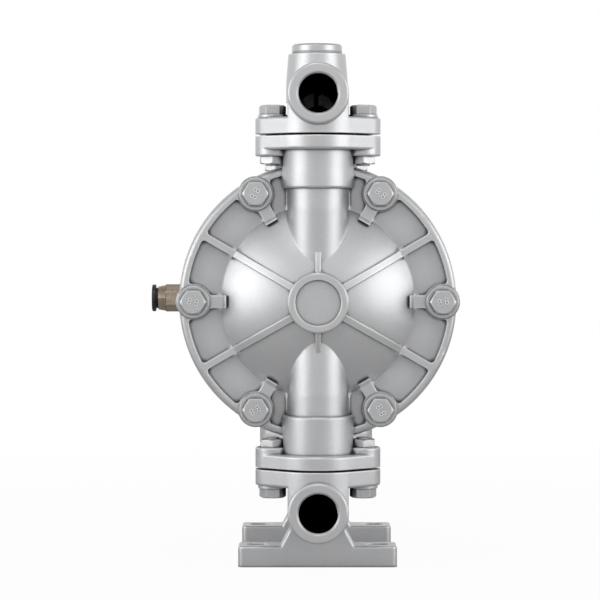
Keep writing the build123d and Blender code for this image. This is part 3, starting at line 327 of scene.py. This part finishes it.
def paintedCornerLight(tree, name, look, place):  # the painted shade of a sharp corner, and the painted highlight along the dome's outer edge
    if name != "paintedCasting":
        return look["crevice"]
    across, depth, height = tree.split(place)
    rise = height - mounts["air_inlet"].z
    away = (across * across + rise * rise).root() - domeEdgeHighlight["radius"]
    sharp = tree.fade(away, 0.0, domeEdgeHighlight["width"], domeEdgeHighlight["inside"], look["crevice"])
    start, end = domeEdgeHighlight["width"], domeEdgeHighlight["width"] + domeEdgeHighlight["fade"]
    # a band of painted highlight along the dome's outer edge
    paintedDomeEdgeLine = tree.fade(away.size(), start, end, domeEdgeHighlight["crevice"], 0.0)
    return sharp.most(paintedDomeEdgeLine)


def makeFinish(name, look):
    material = bpy.data.materials.new(name)
    tree = ShaderTree(material)
    place = tree.make("TexCoord", output=3)
    grain = tree.noise(place, look["grainScale"], 3.0, 0.6)
    speckle = tree.noise(place, speckleScale, 2.0, 0.7)
    waves = tree.noise(place, look["waveScale"], 2.0, 0.5)
    patches = tree.noise(place, patchScale, 3.0, 0.55)
    tone = toneMix["base"] + patches * toneMix["patches"] + speckle * toneMix["speckle"]
    tone = tone + grain * toneMix["grain"]
    corner = tree.make("AmbientOcclusion", {"samples": 8}, output=1, inputs={"Distance": cornerShadeReach})
    pocket = tree.make("AmbientOcclusion", {"samples": 6}, output=1, inputs={"Distance": hollowShadeReach})
    inward = {"samples": 6, "inside": True}
    edge = tree.make("AmbientOcclusion", inward, output=1, inputs={"Distance": edgeHighlightReach})
    # painted shade: a thin dark line in sharp corners and a soft shade in pockets
    line = tree.fade(corner, *cornerShadeOpen, paintedCornerLight(tree, name, look, place), 1.0)
    paintedHollowShade = tree.fade(pocket, *hollowShadeOpen, look["hollow"], 1.0)
    # painted highlight: edges made brighter where the part is thin
    paintedEdgeHighlight = tree.fade(edge, *edgeHighlightOpen, edgeHighlightGain.get(name, smallPartHighlightGain), 0.0)
    shade = tone * line * paintedHollowShade * (1 + paintedEdgeHighlight)
    metallic = look["metallic"]
    rough = look["roughness"] + roughMix["base"] + waves * roughMix["waves"] + grain * roughMix["grain"]
    if name in ("paintedCasting", "blackRubber", "blackPlastic"):
        # painted shade: the insides of the bores are made near black, with no reflection
        bore = boreMask(tree, place)
        shade = shade * (1 - bore * (1 - boreShade["dark"]))
        metallic = bore.most(metallic)
        rough = rough.most(bore)
    full = tree.make("CombineColor", inputs={0: shade, 1: shade, 2: shade})
    color = tree.mixColors(1.0, look["color"] + (1,), full, "MULTIPLY")
    rounded = tree.make("Bevel", {"samples": 6}, inputs={"Radius": look["edge"]})
    height = grain * look["grain"] + waves * look["waves"]
    bump = tree.make("Bump", inputs={"Strength": 1.0, "Distance": 1.0, "Height": height, "Normal": rounded})
    surface = tree.make("BsdfPrincipled", inputs={
        "Base Color": color, "Metallic": metallic, "Roughness": rough, "Normal": bump})
    tree.make("OutputMaterial", inputs={"Surface": surface})
    return material


materials = {name: makeFinish(name, look) for name, look in finishes.items()}
for name, members in wears.items():
    for member in members:
        item = nodes[member]
        item.data.materials.clear()
        item.data.materials.append(materials[name])
print("finishes on", sum(len(members) for members in wears.values()), "nodes")


# Raised figures on the bolt heads and threads in the open ports, grown by Geometry Nodes

class FormTree:  # a Geometry Nodes tree with named inputs, turned into a plain mesh at the end
    def __init__(self, name, sizes):
        self.group = bpy.data.node_groups.new(name, "GeometryNodeTree")
        face = self.group.interface
        face.new_socket("Geometry", in_out="INPUT", socket_type="NodeSocketGeometry")
        self.inputs = {}
        for label, value in sizes.items():
            kind = "NodeSocketInt" if isinstance(value, int) else "NodeSocketFloat"
            socket = face.new_socket(label, in_out="INPUT", socket_type=kind)
            self.inputs[socket.identifier] = value
        face.new_socket("Geometry", in_out="OUTPUT", socket_type="NodeSocketGeometry")
        self.given = self.group.nodes.new("NodeGroupInput")

    def make(self, kind, settings=None, inputs=None, output=0):
        node = self.group.nodes.new("GeometryNode" + kind)
        for name, value in (settings or {}).items():
            setattr(node, name, value)
        for name, value in (inputs or {}).items():
            if isinstance(value, bpy.types.NodeSocket):
                self.group.links.new(value, node.inputs[name])
            else:
                node.inputs[name].default_value = value
        return node.outputs[output]

    def size(self, label):
        return self.given.outputs[label]

    def grow(self, name, shape, start, material):
        whole = self.make("RealizeInstances", inputs={0: shape})
        dressed = self.make("SetMaterial", inputs={"Geometry": whole, "Material": material})
        end = self.group.nodes.new("NodeGroupOutput")
        self.group.links.new(dressed, end.inputs[0])
        bpy.context.collection.objects.link(start)
        grower = start.modifiers.new("grow", "NODES")
        grower.node_group = self.group
        for label, value in self.inputs.items():
            grower[label] = value
        bpy.context.view_layer.update()
        grown = start.evaluated_get(bpy.context.evaluated_depsgraph_get())
        mesh = bpy.data.meshes.new_from_object(grown)
        start.modifiers.remove(grower)
        bpy.data.objects.remove(start)
        piece = bpy.data.objects.new(name, mesh)
        bpy.context.collection.objects.link(piece)
        return piece


headMarks = {
    "figures": "8.8",
    "height": 0.0047,
    "proud": 0.0003,
    "sunk": 0.0001,
    "boltCircle": 0.0597,
    "jointBolts": (0.0217, 0.07),
    "coverTurns": (12, -38, 62, -14, 35, -63),     # degrees, each bolt stopped where it was tight
    "jointTurns": (25, -50, 70, -8),
}
portThreads = {
    "start": 0.0014,
    "pitch": 0.0018,
    "turns": 7,
    "ridge": 0.00075,
    "radius": 0.00945,
    "steps": 72,
}


def dotted(name, spots):  # a mesh of loose points that carry where they are turned to
    mesh = bpy.data.meshes.new(name)
    mesh.from_pydata([tuple(place) for place, turn in spots], [], [])
    turns = mesh.attributes.new("turn", "FLOAT_VECTOR", "POINT")
    for spot, (place, turn) in zip(turns.data, spots):
        spot.vector = turn.to_euler()
    return bpy.data.objects.new(name, mesh)


def spinX(degrees):
    return Matrix.Rotation(math.radians(degrees), 3, "X")


def spinZ(degrees):
    return Matrix.Rotation(math.radians(degrees), 3, "Z")


def figureMesh():
    words = bpy.data.curves.new("figures", "FONT")
    words.body, words.size = headMarks["figures"], headMarks["height"]
    words.align_x, words.align_y = "CENTER", "CENTER"
    words.extrude = (headMarks["proud"] + headMarks["sunk"]) / 2
    words.resolution_u = 4
    item = bpy.data.objects.new("figures", words)
    bpy.context.collection.objects.link(item)
    bpy.context.view_layer.update()
    mesh = bpy.data.meshes.new_from_object(item.evaluated_get(bpy.context.evaluated_depsgraph_get()))
    bpy.data.objects.remove(item)
    mesh.transform(Matrix.Translation((0, 0, words.extrude - headMarks["sunk"])))
    return bpy.data.objects.new("figuresFlat", mesh)


def headSpots():
    spots = []
    for end, node in ((-1, "cover_bolts_front"), (1, "cover_bolts_rear")):
        low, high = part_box(node)
        top = low.y if end < 0 else high.y
        center = (low.z + high.z) / 2
        for index, turn in enumerate(headMarks["coverTurns"]):
            angle = math.radians(60 * index)
            reach = headMarks["boltCircle"]
            place = (reach * math.cos(angle), top, center + reach * math.sin(angle))
            facing = spinX(90) if end < 0 else spinZ(180) @ spinX(90)
            spots.append((place, facing @ spinZ(turn * -end)))
    for node, up in (("discharge_bolts", True), ("suction_bolts", False)):
        low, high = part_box(node)
        level = high.z if up else low.z
        across, along = headMarks["jointBolts"]
        corners = [(x, y) for x in (-across, across) for y in (-along, along)]
        for (x, y), turn in zip(corners, headMarks["jointTurns"]):
            spots.append(((x, y, level), spinZ(turn) if up else spinX(180) @ spinZ(turn)))
    return spots


def makeHeadMarks():
    figures = figureMesh()
    form = FormTree("headMarks", {"Figure size": 1.0})
    shape = form.make("ObjectInfo", {"transform_space": "ORIGINAL"}, {"Object": figures}, output=4)
    turn = form.make("InputNamedAttribute", {"data_type": "FLOAT_VECTOR"}, {"Name": "turn"})
    copies = form.make("InstanceOnPoints", inputs={
        "Points": form.given.outputs[0], "Instance": shape, "Rotation": turn,
        "Scale": form.size("Figure size")})
    spots = dotted("headSpots", headSpots())
    piece = form.grow("bolt_head_figures", copies, spots, materials["litFigurePaint"])
    bpy.data.objects.remove(figures)
    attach(piece, "root")


def makePortThreads():
    look = portThreads
    form = FormTree("portThreads", {
        "Turns": float(look["turns"]), "Radius": look["radius"], "Ridge": look["ridge"]})
    turn = form.make("InputNamedAttribute", {"data_type": "FLOAT_VECTOR"}, {"Name": "turn"})
    line = form.make("CurveSpiral", inputs={
        "Resolution": look["steps"], "Rotations": form.size("Turns"), "Start Radius": form.size("Radius"),
        "End Radius": form.size("Radius"), "Height": look["turns"] * look["pitch"]})
    ridge = form.make("CurvePrimitiveCircle", inputs={"Resolution": 4, "Radius": form.size("Ridge")})
    wound = form.make("CurveToMesh", inputs={"Curve": line, "Profile Curve": ridge, "Fill Caps": True})
    copies = form.make("InstanceOnPoints", inputs={
        "Points": form.given.outputs[0], "Instance": wound, "Rotation": turn})
    low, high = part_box("discharge_manifold")
    heights = (mounts["discharge_port"].z, mounts["suction_port"].z)
    ports = [((0, low.y + look["start"], height), spinX(-90)) for height in heights]
    piece = form.grow("port_threads", copies, dotted("portSpots", ports), materials["paintedCasting"])
    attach(piece, "root")


makeHeadMarks()
makePortThreads()
print("figures and threads made")
